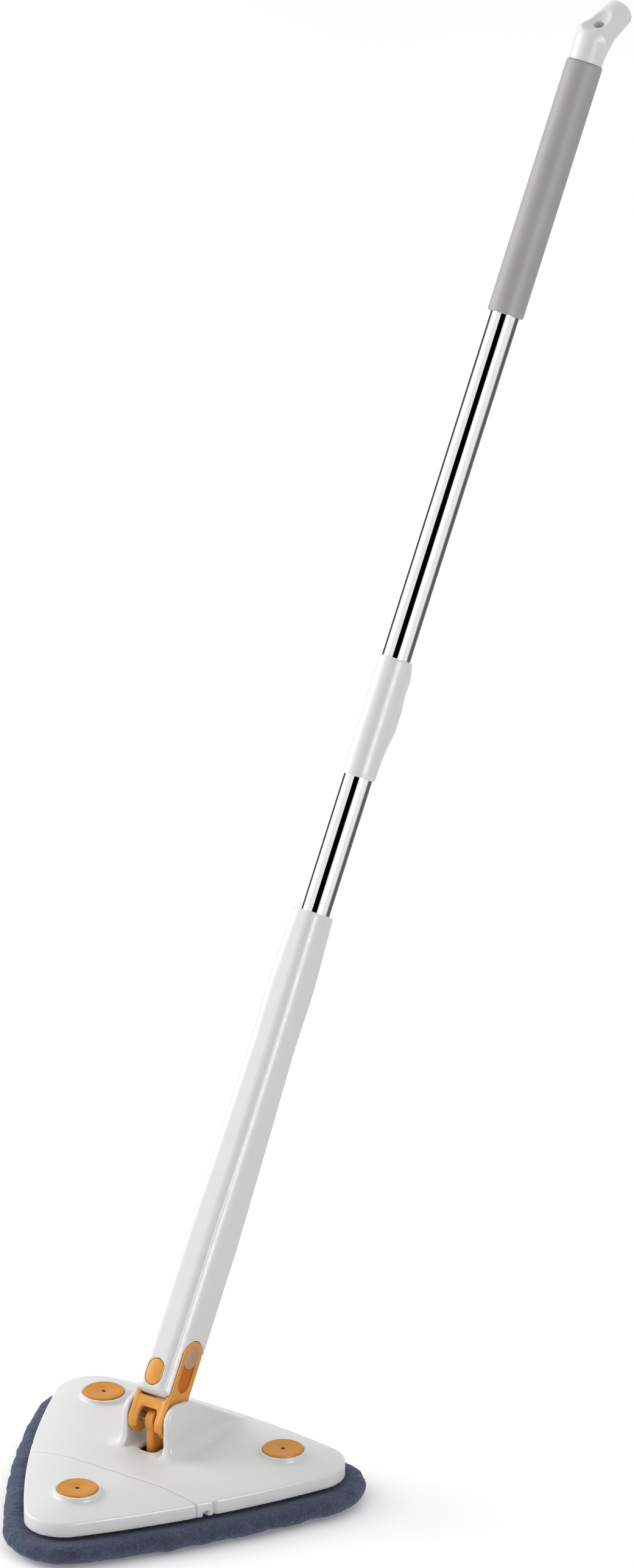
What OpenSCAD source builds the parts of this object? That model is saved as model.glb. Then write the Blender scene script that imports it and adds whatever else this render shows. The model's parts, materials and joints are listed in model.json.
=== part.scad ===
// Triangular flat mop: plush pad, plate with a folding corner, fork joint, sliding sleeve,
// and a steel pole in two lengths.
// The row frame has its origin at the centre of the pad's underside. The folding corner points
// to -Y, and the pole leans back towards +Y. "Along the pole" distances start at the tilt pin.

/* [Pole] */
// Angle between the pole and the vertical, in degrees
lean = 30.7; // [25:0.1:36]
// Outer diameter of both steel tubes
tube_d = 25; // [24.8:0.05:25.1]
// Wall of the steel tubes
tube_wall = 1; // [0.8:0.1:1.1]
// Outer diameter of the foam grip
grip_d = 31.7; // [29:0.1:34]
// Where the collar starts, along the pole
collar_bottom = 572; // [570:1:585]
// Length of the collar
collar_len = 106; // [95:1:120]
// Where the foam grip starts, along the pole
grip_bottom = 985; // [900:5:1000]
// Length of the foam grip
grip_len = 225; // [180:5:240]

/* [Sleeve] */
// Lower end of the sleeve, along the pole
sleeve_bottom = 20; // [19.5:0.5:24]
// Upper end of the sleeve, along the pole
sleeve_top = 451; // [430:1:455]
// Width of the sleeve, left to right
sleeve_w = 35; // [34:0.5:36]
// Front face of the sleeve, from the pole's axis
sleeve_front_y = 22.5; // [21.5:0.5:24]
// Back face of the sleeve at its lower end, from the pole's axis
sleeve_back_y = 17.5; // [16:0.1:18]

/* [Head] */
// Distance from the plate's centre to the middle of each of its gently bowed sides
plate_inradius = 106; // [103:0.5:109]
// Radius of the plate's rounded corners
plate_corner_r = 34; // [33:1:38]
// Distance from the plate's centre to the centre of each rounded corner
plate_corner_reach = 128.5; // [126:0.5:131]
// How far the pad stands out beyond the plate
pad_margin = 16.5; // [10:0.5:20]
// Height of the plate's lower edge above the floor
plate_z = 22.5; // [22:0.5:24]
// Distance from the plate's centre to each orange disc
disc_at = 109.6; // [105:0.5:112]
// Diameter of the orange discs
disc_d = 35; // [32:0.5:36]
// Height of the tilt pin above the floor
pivot_z = 67.6; // [67:0.1:70]
// Distance from the plate's centre to the seam of the folding corner
seam_y = 59; // [57:0.5:61]

/* [Hidden] */

$fn = 96;
facets = 32;            // sides of the circles inside a hull
side_facets = 96;       // sides of the plate's outline
eps = 0.01;
run = 0.06;             // radial clearance of a running fit
part_gap = 0.4;         // gap between pieces that move past each other
big = 700;

tube_r = tube_d / 2;
joint_along = collar_bottom + collar_len / 2;
grip_top = grip_bottom + grip_len;
cap_shaft_len = 21;
cap_elbow = grip_top + cap_shaft_len;
cap_bend = 43;
cap_r = 15;
cap_rim = 0.4;
cap_face_r = 12;
cap_tip_len = 43;
spigot_len = 30;        // length of what fits into the end of a tube
spigot_r = tube_r - tube_wall - 0.05;
hang_hole_at = 12;      // from the cap's bend, along its tip
hang_hole_r = 4.5;
hang_wall_front = 7;
hang_wall_back = 11;
hang_seat_front_r = 9.5;
hang_seat_back_r = 6.5;

joiner_len = 70;
joiner_bore_r = 8.5;

bush_bottom = 200;
bush_len = 20;
bush_r = 12.93;
bore_r = 13;
spindle_r = 6;
tube_bottom = 222;
buffer_along = 68;
mouth_len = 24;
mouth_r = 14;

fork_pin_along = 59;
fork_in = 13.3;
fork_out = 17.7;
fork_round_r = 14.5;
fork_pin_r = 4;
recess_r = 8.8;
recess_low = 38.5;
recess_high = fork_pin_along + 1.5;
recess_depth = 1.4;
pin_head_r = 8;
pin_head_t = 0.9;
tilt_pin_r = 4;
button_along = 38.7;
cover_x = 14;
cover_y = 18.6;
cover_top = 265;

plate_wall = 2.5;
// each layer's height above the lower edge, and its inset
plate_layers = [[0, 0], [12.4, 0], [13.4, 1], [17, 15], [19.5, 30]];
plate_top = plate_z + 19.5;
boss_r = 20.5;
boss_top = plate_top + 3;
disc_floor = boss_top - 1.4;
disc_top = disc_floor + 3;
under_t = 2;
pad_top = 20.5;
post_r = 4;             // screw posts, and the wider ones below the discs
disc_post_r = 4.5;
screw_hole_r = 1.5;
hinge_y = -51.5;
hinge_z = plate_z + 2.5;
hinge_pin_r = 1.5;
knuckle_r = 7.2;
arm_in = 62.4;
arm_out = 69.3;
lug_in = arm_out + part_gap;
lug_depth = 15;
lug_height = 12;
groove_y = -44.3;
groove_width = 1.2;
groove_x = 95.8;
seam_half = part_gap / 2;
disc_angles = [-90, 30, 150];
head_screw_at = [[-45, 75], [45, 75], [-62, -20], [62, -20]];
corner_screw_at = [[-28, -85], [28, -85]];
ear_in = 19;
ear_out = 29;
ear_r = 13.6;
ear_profile = [
    [-ear_r, 38], [-ear_r, pivot_z + 4.4], [0, pivot_z + 4.4], [4, pivot_z + 17.5], [14, pivot_z + 15.4],
    [23, pivot_z + 11.4], [34, 70], [48, 58], [62, 49.5], [78, 43], [88, 38],
];
ear_flare = [[ear_out - 1, 39], [ear_out - 1, 60], [31, 52], [34, 46], [39, 42.5], [46, 41], [46, 39]];

// ---- placing ----

// The pole's own frame: X to the right, Y towards the back, Z along the pole from the tilt pin
module on_pole(along = 0) {
    translate([0, 0, pivot_z])
        rotate([-lean, 0, 0])
            translate([0, 0, along])
                children();
}

// A straight rod along X, centred on X = 0
module rod_x(r, length) {
    rotate([0, 90, 0])
        cylinder(r = r, h = length, center = true);
}

module at_disc(angle) {
    translate([disc_at * cos(angle), disc_at * sin(angle), 0])
        children();
}

module behind_seam(offset_y) {
    translate([-big / 2, -seam_y + offset_y, -big / 2])
        cube(big);
}

module ahead_of_seam(offset_y) {
    translate([-big / 2, -seam_y - offset_y - big, -big / 2])
        cube(big);
}

// ---- outlines and shells of the head ----

function corner_point(angle) = plate_corner_reach * [cos(angle), sin(angle)];

// The plate's outline moved outwards by `margin`, or inwards when it is negative
module head_outline(margin) {
    hull() {
        for (a = disc_angles)
            translate(corner_point(a))
                circle(plate_corner_r + margin, $fn = side_facets);
        circle(plate_inradius + margin, $fn = side_facets);
    }
}

// The rim of the plate turned about an axis, with its side at radius r
module plate_rim(r, sides) {
    rim = [for (layer = plate_layers) [r - layer[1], layer[0]]];
    rotate_extrude($fn = sides)
        polygon(concat([[0, 0]], rim, [[0, plate_layers[4][0]]]));
}

// The pillow-shaped body of the plate, made smaller all round by `inner`
module plate_form(inner = 0) {
    translate([0, 0, plate_z - inner])
        hull() {
            for (a = disc_angles)
                translate(corner_point(a))
                    plate_rim(plate_corner_r - inner, facets);
            plate_rim(plate_inradius - inner, side_facets);
        }
}

module disc_boss(angle) {
    at_disc(angle)
        translate([0, 0, plate_top - 1])
            cylinder(r = boss_r, h = boss_top - plate_top + 1);
}

module disc_seat(angle) {
    at_disc(angle) {
        translate([0, 0, disc_floor])
            cylinder(r = disc_d / 2 + 0.3, h = 10);
        cylinder(r = 1.6, h = 60);
    }
}

module screw_post(r, top) {
    translate([0, 0, plate_z + under_t])
        cylinder(r = r, h = top - plate_z - under_t);
}

module under_plate_body() {
    translate([0, 0, plate_z])
        linear_extrude(under_t)
            head_outline(-plate_wall - 0.5);
}

module screw(head_r, shank_r, head_h, length) {
    cylinder(r = head_r, h = head_h);
    cylinder(r = shank_r, h = length);
}

module disc_screw(angle) {
    at_disc(angle)
        translate([0, 0, disc_top - 0.6])
            rotate([180, 0, 0])
                screw(1.8, 1.3, 1, 14);
}

module disc(angle) {
    at_disc(angle)
        difference() {
            translate([0, 0, disc_floor])
                rotate_extrude()
                    polygon([[0, 0], [disc_d / 2, 0], [disc_d / 2, 2.4], [disc_d / 2 - 0.6, 3], [0, 3]]);
            translate([0, 0, disc_floor - 1])
                cylinder(r = screw_hole_r, h = 10);
            translate([0, 0, disc_top - 1.7])
                cylinder(r = 2.1, h = 10);
        }
}

// The pad's block, cut at the seam by a plane that leans by 45 degrees so that the corner can fold down
module pad_block() {
    linear_extrude(pad_top)
        head_outline(pad_margin);
}

module pad_wedge(side) {
    translate([0, hinge_y + side * 0.5, hinge_z])
        rotate([0, 90, 0])
            linear_extrude(big, center = true)
                polygon([[0, 0], [100, side * 100], [0, side * 200 + side], [-100, side * 200], [-100, 0]]);
}

// ---- handle: pole, grip and cap ----

module tube(bottom, top) {
    difference() {
        cylinder(r = tube_r, h = top - bottom);
        translate([0, 0, -1])
            cylinder(r = tube_r - tube_wall, h = top - bottom + 2);
    }
}

module end_cap() {
    color("white")
        on_pole(grip_top)
            difference() {
                union() {
                    rotate_extrude()
                        polygon([
                            [0, 0], [cap_r, 0], [cap_r + cap_rim, 1.5], [cap_r + cap_rim, 6], [cap_r, 9],
                            [cap_r, cap_shaft_len], [0, cap_shaft_len],
                        ]);
                    translate([0, 0, -spigot_len])
                        cylinder(r = spigot_r, h = spigot_len + 1);
                    translate([0, 0, cap_shaft_len])
                        cap_tip();
                }
                translate([0, 0, cap_shaft_len])
                    rotate([-cap_bend, 0, 0])
                        translate([0, 0, hang_hole_at])
                            rotate([90, 0, 0])
                                hanging_hole();
            }
}

module cap_tip() {
    sphere(r = cap_r);
    rotate([-cap_bend, 0, 0])
        cylinder(r1 = cap_r, r2 = cap_face_r, h = cap_tip_len);
}

// The hole across the cap's tip, with a dished seat on each side of its wall
module hanging_hole() {
    cylinder(r = hang_hole_r, h = 60, center = true);
    translate([0, 0, hang_wall_front])
        cylinder(r = hang_seat_front_r, h = 20);
    translate([0, 0, -hang_wall_back - 20])
        cylinder(r = hang_seat_back_r, h = 20);
}

module foam_grip() {
    color("gray")
        on_pole(grip_bottom)
            rotate_extrude()
                polygon([
                    [tube_r + 0.05, 0], [grip_d / 2 - 1.5, 0], [grip_d / 2, 1.5],
                    [grip_d / 2, grip_len - 1.5], [grip_d / 2 - 1.5, grip_len], [tube_r + 0.05, grip_len],
                ]);
}

module upper_tube() {
    color("silver")
        on_pole(joint_along)
            tube(joint_along, grip_top);
}

module lower_tube() {
    color("silver")
        on_pole(tube_bottom)
            tube(tube_bottom, joint_along - 0.5);
}

// One swelling on the collar's back, through circles at [height, distance back]
module collar_swelling(stations) {
    hull()
        for (s = stations)
            translate([0, s[1], s[0]])
                cylinder(r = 12, h = 0.1, $fn = facets);
}

module collar() {
    color("whitesmoke")
        on_pole(collar_bottom)
            difference() {
                union() {
                    rotate_extrude()
                        polygon([
                            [0, 0], [13.4, 0], [14.5, 4], [14.5, collar_len - 3], [13.8, collar_len],
                            [0, collar_len],
                        ]);
                    collar_swelling([[18, 0], [34, 8.8], [50, 11.6], [63, 11.6], [78, 8.4]]);
                    collar_swelling([[78, 8.4], [91, 10.3], [collar_len - 6, 8], [collar_len - 2, 3]]);
                }
                translate([0, 0, -20])
                    cylinder(r = tube_r + 0.05, h = collar_len + 60);
            }
}

module tube_joiner() {
    color("dimgray")
        on_pole(joint_along - joiner_len / 2)
            difference() {
                cylinder(r = spigot_r, h = joiner_len);
                translate([0, 0, -1])
                    cylinder(r = joiner_bore_r, h = joiner_len + 2);
            }
}

module tube_plug() {
    color("dimgray")
        on_pole(bush_bottom - 1)
            difference() {
                union() {
                    cylinder(r = spindle_r, h = bush_len + 2);
                    translate([0, 0, tube_bottom - bush_bottom + 1])
                        cylinder(r = spigot_r, h = spigot_len);
                    translate([0, 0, bush_len + 1.5])
                        cylinder(r = tube_r - 0.3, h = tube_bottom - bush_bottom - bush_len - 0.5);
                }
                translate([0, 0, -1])
                    cylinder(r = 1.6, h = 16);
            }
}

module plug_washer() {
    color("silver")
        on_pole(bush_bottom - 2.6)
            difference() {
                cylinder(r = 9, h = 1.5);
                translate([0, 0, -1])
                    cylinder(r = 1.6, h = 4);
            }
}

module plug_screw() {
    color("silver")
        on_pole(bush_bottom - 4.6)
            screw(3.2, 1.5, 2, 16);
}

// ---- slide: the bush that the pole turns in and that slides in the sleeve ----

module slide_bush() {
    color("dimgray")
        on_pole(bush_bottom)
            difference() {
                union() {
                    cylinder(r = bush_r, h = bush_len);
                    translate([-2, -15, 0])
                        cube([4, 15, bush_len]);
                }
                translate([0, 0, -1])
                    cylinder(r = spindle_r + run, h = bush_len + 2);
            }
}

// ---- sleeve ----

// [along the pole, half width, front, back]
sleeve_stations = [
    [sleeve_bottom, sleeve_w / 2, sleeve_front_y, sleeve_back_y],
    [sleeve_top - 250, sleeve_w / 2, sleeve_front_y - 0.6, sleeve_back_y - 0.3],
    [sleeve_top - 70, sleeve_w / 2 - 0.9, sleeve_front_y - 0.9, sleeve_back_y - 2.4],
    [sleeve_top - eps, mouth_r + 1, sleeve_front_y - 2.4, mouth_r + 0.9],
];

// Rounded block of the sleeve: front corners of 11 mm radius, back corners of 6 mm
module sleeve_form() {
    intersection() {
        hull()
            for (s = sleeve_stations, side = [-1, 1]) {
                translate([side * (s[1] - 11), -(s[2] - 11), s[0]])
                    cylinder(r = 11, h = eps, $fn = facets);
                translate([side * (s[1] - 6), s[3] - 6, s[0]])
                    cylinder(r = 6, h = eps, $fn = facets);
            }
        union() {
            translate([0, 0, fork_pin_along])
                rod_x(fork_pin_along - sleeve_bottom + 1.5, 80);
            translate([-50, -50, fork_pin_along])
                cube([100, 100, 500]);
        }
    }
}

module front_cover_zone(grow) {
    translate([-cover_x - grow, -50, 0])
        cube([2 * (cover_x + grow), 50 - cover_y + grow, cover_top + grow]);
}

module button_outline(grow) {
    r = 8 + grow;
    for (side = [-1, 1])
        translate([0, side * 3.5])
            circle(r);
    translate([-r, -3.5])
        square([2 * r, 7]);
}

module button_prism(grow, from_y, to_y) {
    translate([0, -from_y, button_along])
        rotate([90, 0, 0])
            linear_extrude(to_y - from_y)
                button_outline(grow);
}

// The side pockets that the fork's legs lie in, open to the back and to the bottom
module fork_pocket(side) {
    reach = fork_round_r + part_gap;
    translate([side * (fork_in - part_gap + 10), 0, 0])
        rotate([90, 0, 90])
            linear_extrude(20, center = true) {
                translate([0, fork_pin_along])
                    circle(reach);
                translate([-reach, -20])
                    square([reach + 60, fork_pin_along + 20]);
                translate([0, fork_pin_along - 1])
                    square([60, reach + 1]);
            }
}

module sleeve_housing() {
    color("white")
        on_pole()
            difference() {
                sleeve_form();
                front_cover_zone(0);
                translate([0, 0, buffer_along])
                    cylinder(r = bore_r, h = 500);
                translate([0, 0, sleeve_top - mouth_len])
                    cylinder(r = mouth_r, h = 100);
                translate([-2.2, -15.3, buffer_along])
                    cube([4.4, 15.3, bush_bottom + bush_len + 5 - buffer_along]);
                for (side = [-1, 1])
                    fork_pocket(side);
                translate([0, 0, fork_pin_along])
                    rod_x(fork_pin_r + run, 80);
                button_prism(2.5, 11.8, 40);
                translate([0, -4, button_along])
                    rotate([90, 0, 0])
                        cylinder(r = 5, h = 20);
            }
}

module sleeve_front_cover() {
    color("white")
        on_pole()
            difference() {
                intersection() {
                    sleeve_form();
                    front_cover_zone(-0.05);
                }
                button_prism(0.3, 0, 40);
            }
}

module guide_bush() {
    color("lightgray")
        on_pole(sleeve_top - mouth_len)
            difference() {
                cylinder(r = mouth_r - 0.05, h = mouth_len);
                translate([0, 0, -1])
                    cylinder(r = tube_r + run, h = mouth_len + 2);
            }
}

module stop_buffer() {
    color("black")
        on_pole(buffer_along)
            cylinder(r = 12, h = 6);
}

// ---- button and its spring ----

module lock_button() {
    color("orange")
        on_pole() {
            difference() {
                button_prism(0, 15.4, sleeve_front_y + 1.5);
                translate([0, -sleeve_front_y - 22.9, button_along])
                    rod_x(22, 60);
            }
            button_prism(2, 15.4, cover_y - 0.3);
            translate([0, -8.6, button_along])
                rotate([90, 0, 0])
                    cylinder(r = 2.2, h = 8);
        }
}

function spring_point(turn, r, pitch) = [r * cos(360 * turn), r * sin(360 * turn), pitch * turn];

function spring_ring(turn, r, wire, pitch, sides) = [
    for (k = [0:sides - 1])
        let (a = 360 * k / sides)
        spring_point(turn, r, pitch) + wire * [cos(a) * cos(360 * turn), cos(a) * sin(360 * turn), sin(a)]
];

module coil(r, wire, pitch, turns, steps = 16, sides = 8) {
    rings = turns * steps;
    points = [for (i = [0:rings]) each spring_ring(i / steps, r, wire, pitch, sides)];
    walls = [for (i = [0:rings - 1], k = [0:sides - 1])
        let (n = (k + 1) % sides)
        [i * sides + k, (i + 1) * sides + k, (i + 1) * sides + n, i * sides + n]
    ];
    ends = [[for (k = [0:sides - 1]) k], [for (k = [sides - 1:-1:0]) rings * sides + k]];
    polyhedron(points, concat(walls, ends), convexity = 6);
}

module lock_spring() {
    color("silver")
        on_pole()
            translate([0, -4.6, button_along])
                rotate([90, 0, 0])
                    coil(3.6, 0.4, 1.6, 4);
}

// ---- fork ----

module fork_leg(side) {
    translate([side * (fork_in + fork_out) / 2, 0, 0])
        rotate([90, 0, 90])
            linear_extrude(fork_out - fork_in, center = true) {
                circle(fork_round_r);
                translate([0, fork_pin_along])
                    circle(fork_round_r);
                translate([-fork_round_r, 0])
                    square([2 * fork_round_r, fork_pin_along]);
            }
}

module fork_recess(side) {
    translate([side * (fork_out + 5 - recess_depth), 0, 0])
        rotate([90, 0, 90])
            linear_extrude(10, center = true) {
                for (along = [recess_low, recess_high])
                    translate([0, along])
                        circle(recess_r);
                translate([-recess_r, recess_low])
                    square([2 * recess_r, recess_high - recess_low]);
            }
}

module fork() {
    color("darkorange")
        on_pole()
            difference() {
                union() {
                    for (side = [-1, 1])
                        fork_leg(side);
                    translate([-fork_in - 1, -13, 8])
                        cube([2 * fork_in + 2, 26, 9.4]);
                }
                rod_x(11.5, 2 * fork_in);
                rod_x(tilt_pin_r + run, 80);
                translate([0, 0, fork_pin_along]) {
                    rod_x(fork_pin_r + run, 80);
                    difference() {
                        translate([-10, -40, -60])
                            cube([20, 80, 60]);
                        rod_x(60, 30);
                    }
                }
                difference() {
                    translate([-fork_in, -30, 0])
                        cube([2 * fork_in, 60, 30]);
                    translate([-fork_in, -30, 0])
                        cube([2 * fork_in, 60, 17.4]);
                }
                for (side = [-1, 1])
                    fork_recess(side);
            }
}

module fork_pin() {
    color("lightgray")
        on_pole(fork_pin_along) {
            rod_x(fork_pin_r, 2 * (fork_out - recess_depth));
            for (side = [-1, 1])
                translate([side * (fork_out - pin_head_t + 0.05), 0, 0])
                    rod_x(pin_head_r, pin_head_t);
        }
}

// ---- head ----

module ears() {
    for (side = [-1, 1])
        translate([side * (ear_in + ear_out) / 2, 0, 0])
            rotate([90, 0, 90])
                linear_extrude(ear_out - ear_in, center = true) {
                    polygon(ear_profile);
                    translate([0, pivot_z + 4.4])
                        circle(ear_r);
                }
    for (side = [0, 1])
        mirror([side, 0, 0])
            translate([0, 14, 0])
                rotate([90, 0, 0])
                    linear_extrude(27)
                        polygon(ear_flare);
}

// The room in the head plate for one hinge arm of the corner
module hinge_room(side) {
    room_width = arm_out - arm_in + 2 * part_gap;
    mirror([side, 0, 0]) {
        translate([arm_in - part_gap, hinge_y, hinge_z])
            rotate([0, 90, 0])
                cylinder(r = knuckle_r + part_gap, h = room_width);
        translate([arm_in - part_gap, -seam_y - 10, 0])
            cube([room_width, 10 + seam_y + hinge_y, hinge_z + knuckle_r + part_gap]);
        translate([arm_in - part_gap, -seam_y - 10, 0])
            cube([room_width, 10 + seam_y + hinge_y + knuckle_r + part_gap, hinge_z]);
    }
}

// The block at the plate's side that carries the outer end of a hinge pin
module hinge_lug(side) {
    intersection() {
        plate_form();
        mirror([side, 0, 0])
            translate([lug_in, -seam_y + seam_half, plate_z])
                cube([40, lug_depth, lug_height]);
    }
}

module side_groove(side) {
    mirror([side, 0, 0])
        translate([groove_x, groove_y - groove_width / 2, plate_z - 1])
            cube([20, groove_width, lug_height + 1]);
}

module head_plate() {
    color("white")
        difference() {
            union() {
                difference() {
                    intersection() {
                        plate_form();
                        behind_seam(seam_half);
                    }
                    intersection() {
                        plate_form(plate_wall);
                        behind_seam(seam_half + plate_wall);
                    }
                }
                for (a = [30, 150]) {
                    disc_boss(a);
                    at_disc(a)
                        screw_post(disc_post_r, plate_top - 1);
                }
                for (p = head_screw_at)
                    translate(p)
                        screw_post(post_r, plate_top - 2);
                for (side = [0, 1])
                    hinge_lug(side);
                ears();
            }
            for (side = [0, 1]) {
                hinge_room(side);
                side_groove(side);
            }
            for (a = [30, 150])
                disc_seat(a);
            for (p = head_screw_at)
                translate([p[0], p[1], 0])
                    cylinder(r = screw_hole_r, h = plate_top - 4);
            translate([0, hinge_y, hinge_z])
                rod_x(hinge_pin_r + run, 2 * big);
            translate([0, 0, pivot_z])
                rod_x(tilt_pin_r + run, 200);
            translate([-11, -11, plate_top - 5])
                cube([22, 22, 20]);
        }
}

module head_under_plate() {
    color("whitesmoke")
        difference() {
            intersection() {
                under_plate_body();
                behind_seam(seam_half + plate_wall + 0.1);
            }
            for (side = [0, 1])
                mirror([side, 0, 0])
                    translate([arm_in - 0.7, -seam_y, 0])
                        cube([60, 16.5, 60]);
            for (p = head_screw_at)
                translate([p[0], p[1], plate_z - 1])
                    cylinder(r = screw_hole_r, h = 10);
        }
}

module head_screws() {
    color("silver")
        for (p = head_screw_at)
            translate([p[0], p[1], plate_z - 1.2])
                screw(3, 1.4, 1.2, 14);
}

module centre_lug() {
    color("darkorange")
        difference() {
            union() {
                translate([-4, -8, plate_top - 3])
                    cube([8, 16, pivot_z - plate_top + 3]);
                translate([0, 0, pivot_z])
                    rod_x(8, 8);
                translate([-16, -16, plate_top - plate_wall - 3])
                    cube([32, 32, 3]);
            }
            translate([0, 0, pivot_z])
                rod_x(tilt_pin_r + run, 20);
        }
}

module tilt_pin() {
    color("silver")
        translate([0, 0, pivot_z])
            rod_x(tilt_pin_r, 2 * ear_out - 1);
}

module disc_left() {
    color("orange")
        disc(150);
}

module disc_right() {
    color("orange")
        disc(30);
}

module disc_screws() {
    color("dimgray")
        for (a = [30, 150])
            disc_screw(a);
}

module hook_tape_outline() {
    head_outline(-14);
}

module hook_tape_head() {
    color("dimgray")
        translate([0, 0, pad_top])
            linear_extrude(plate_z - pad_top - 1.2)
                intersection() {
                    hook_tape_outline();
                    translate([-big / 2, hinge_y + 10])
                        square(big);
                }
}

module pad_main() {
    color("slategray")
        intersection() {
            pad_block();
            pad_wedge(1);
        }
}

module fold_pins() {
    color("silver")
        for (side = [-1, 1])
            translate([side * 75, hinge_y, hinge_z])
                rod_x(hinge_pin_r, 26);
}

// ---- folding corner ----

module corner_plate() {
    color("white")
        difference() {
            union() {
                difference() {
                    intersection() {
                        plate_form();
                        ahead_of_seam(seam_half);
                    }
                    intersection() {
                        plate_form(plate_wall);
                        ahead_of_seam(seam_half + plate_wall);
                    }
                }
                disc_boss(-90);
                at_disc(-90)
                    screw_post(disc_post_r, plate_top - 1);
                for (p = corner_screw_at)
                    translate(p)
                        screw_post(post_r, plate_top - 2);
                intersection() {
                    plate_form();
                    for (side = [0, 1])
                        mirror([side, 0, 0]) {
                            translate([arm_in, hinge_y, hinge_z])
                                rotate([0, 90, 0])
                                    cylinder(r = knuckle_r, h = arm_out - arm_in);
                            translate([arm_in, -seam_y - 6, plate_z])
                                cube([arm_out - arm_in, 6 + seam_y + hinge_y, 8.5]);
                        }
                }
            }
            translate([0, hinge_y, hinge_z])
                rod_x(hinge_pin_r + run, 2 * big);
            disc_seat(-90);
            for (p = corner_screw_at)
                translate([p[0], p[1], 0])
                    cylinder(r = screw_hole_r, h = plate_top - 4);
        }
}

module corner_under_plate() {
    color("whitesmoke")
        difference() {
            intersection() {
                under_plate_body();
                ahead_of_seam(seam_half + plate_wall + 0.1);
            }
            for (side = [0, 1])
                mirror([side, 0, 0])
                    translate([arm_in - 0.3, -seam_y - 6.4, 0])
                        cube([arm_out - arm_in + 0.6, 16.5, 60]);
            for (p = corner_screw_at)
                translate([p[0], p[1], plate_z - 1])
                    cylinder(r = screw_hole_r, h = 10);
        }
}

module corner_screws() {
    color("silver")
        for (p = corner_screw_at)
            translate([p[0], p[1], plate_z - 1.2])
                screw(3, 1.4, 1.2, 14);
}

module disc_front() {
    color("orange")
        disc(-90);
}

module disc_front_screw() {
    color("dimgray")
        disc_screw(-90);
}

module hook_tape_corner() {
    color("dimgray")
        translate([0, 0, pad_top])
            linear_extrude(plate_z - pad_top - 1.2)
                intersection() {
                    hook_tape_outline();
                    translate([-big / 2, hinge_y - 12 - big])
                        square(big);
                }
}

module pad_corner() {
    color("slategray")
        intersection() {
            pad_block();
            pad_wedge(-1);
        }
}

end_cap();
foam_grip();
upper_tube();
collar();
tube_joiner();
lower_tube();
tube_plug();
plug_washer();
plug_screw();
slide_bush();
sleeve_housing();
sleeve_front_cover();
guide_bush();
stop_buffer();
lock_button();
lock_spring();
fork();
fork_pin();
head_plate();
head_under_plate();
head_screws();
centre_lug();
tilt_pin();
disc_left();
disc_right();
disc_screws();
hook_tape_head();
pad_main();
fold_pins();
corner_plate();
corner_under_plate();
corner_screws();
disc_front();
disc_front_screw();
hook_tape_corner();
pad_corner();
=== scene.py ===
import json
import math

import bpy
import numpy as np
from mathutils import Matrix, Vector, noise


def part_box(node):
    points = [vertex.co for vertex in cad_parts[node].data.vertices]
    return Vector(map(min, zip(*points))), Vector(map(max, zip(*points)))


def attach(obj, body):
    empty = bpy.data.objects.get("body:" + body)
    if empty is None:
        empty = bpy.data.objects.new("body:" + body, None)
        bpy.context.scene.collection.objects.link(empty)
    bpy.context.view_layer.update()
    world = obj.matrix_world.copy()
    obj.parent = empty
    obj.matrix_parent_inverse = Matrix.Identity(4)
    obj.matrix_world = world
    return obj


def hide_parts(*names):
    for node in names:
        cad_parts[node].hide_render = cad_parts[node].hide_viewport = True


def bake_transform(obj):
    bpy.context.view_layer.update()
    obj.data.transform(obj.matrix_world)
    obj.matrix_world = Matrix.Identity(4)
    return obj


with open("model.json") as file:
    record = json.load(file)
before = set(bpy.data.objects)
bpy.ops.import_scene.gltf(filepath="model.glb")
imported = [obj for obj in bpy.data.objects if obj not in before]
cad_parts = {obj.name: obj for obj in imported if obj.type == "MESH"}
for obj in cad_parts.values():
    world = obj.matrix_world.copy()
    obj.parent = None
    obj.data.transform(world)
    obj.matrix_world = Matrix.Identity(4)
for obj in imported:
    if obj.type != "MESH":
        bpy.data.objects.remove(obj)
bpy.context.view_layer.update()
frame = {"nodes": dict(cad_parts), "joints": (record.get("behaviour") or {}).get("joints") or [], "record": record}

# Fields and outlines are in millimetres; every mesh is in metres, in the frame of the CAD model.
MM = 0.001

# ---------------------------------------------------------------- the frame's own places

joints = {j["name"]: j for j in frame["joints"]}
PIVOT = np.array(joints["head_tilt"]["pos_m"]) / MM
ALONG = np.array(joints["pole_twist"]["axis"])
ALONG = ALONG / np.linalg.norm(ALONG)
BACK = np.array([0.0, ALONG[2], -ALONG[1]])
HINGE = np.array(joints["corner_fold"]["pos_m"]) / MM
FORK_PIN = float((np.array(joints["fork_fold"]["pos_m"]) / MM - PIVOT) @ ALONG)


def node_box(node):
    low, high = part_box(node)
    return np.array(low) / MM, np.array(high) / MM


PLATE_LOW, PLATE_HIGH = node_box("head_plate")
PLATE_Z = PLATE_LOW[2]
PLATE_IN = PLATE_HIGH[1]                 # from the centre to a straight side
PAD_IN = node_box("pad_main")[1][1]
DISC_BOX = node_box("disc_right")
DISC_AT = float(np.hypot(*((DISC_BOX[0] + DISC_BOX[1]) / 2)[:2]))
DISC_R = (DISC_BOX[1][0] - DISC_BOX[0][0]) / 2
DISC_TOP = DISC_BOX[1][2]
DISC_FLOOR = DISC_BOX[0][2]
CORNER_ANGLES = {"front": -90, "right": 30, "left": 150}

PLATE_R = 34.0
CORNER_REACH = (PLATE_HIGH[0] - PLATE_R) / math.cos(math.radians(30))
PLATE_SIDE = 13.0                        # height of the plate's upright side
PLATE_RISE = 6.5                         # from the top of the side to the flat of the top
PLATE_SLOPE = 48.0                       # how far in the top keeps rising
PLATE_TOP = PLATE_Z + PLATE_SIDE + PLATE_RISE
SHELL = 2.5
SEAM = -59.0
SEAM_HALF = 0.25
ARM_IN, ARM_OUT, ARM_R = 62.4, 69.3, 7.2
GROOVE_Y = -44.3
PAD_OUT = PAD_IN - PLATE_IN              # how far the pad stands out beyond the plate

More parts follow.
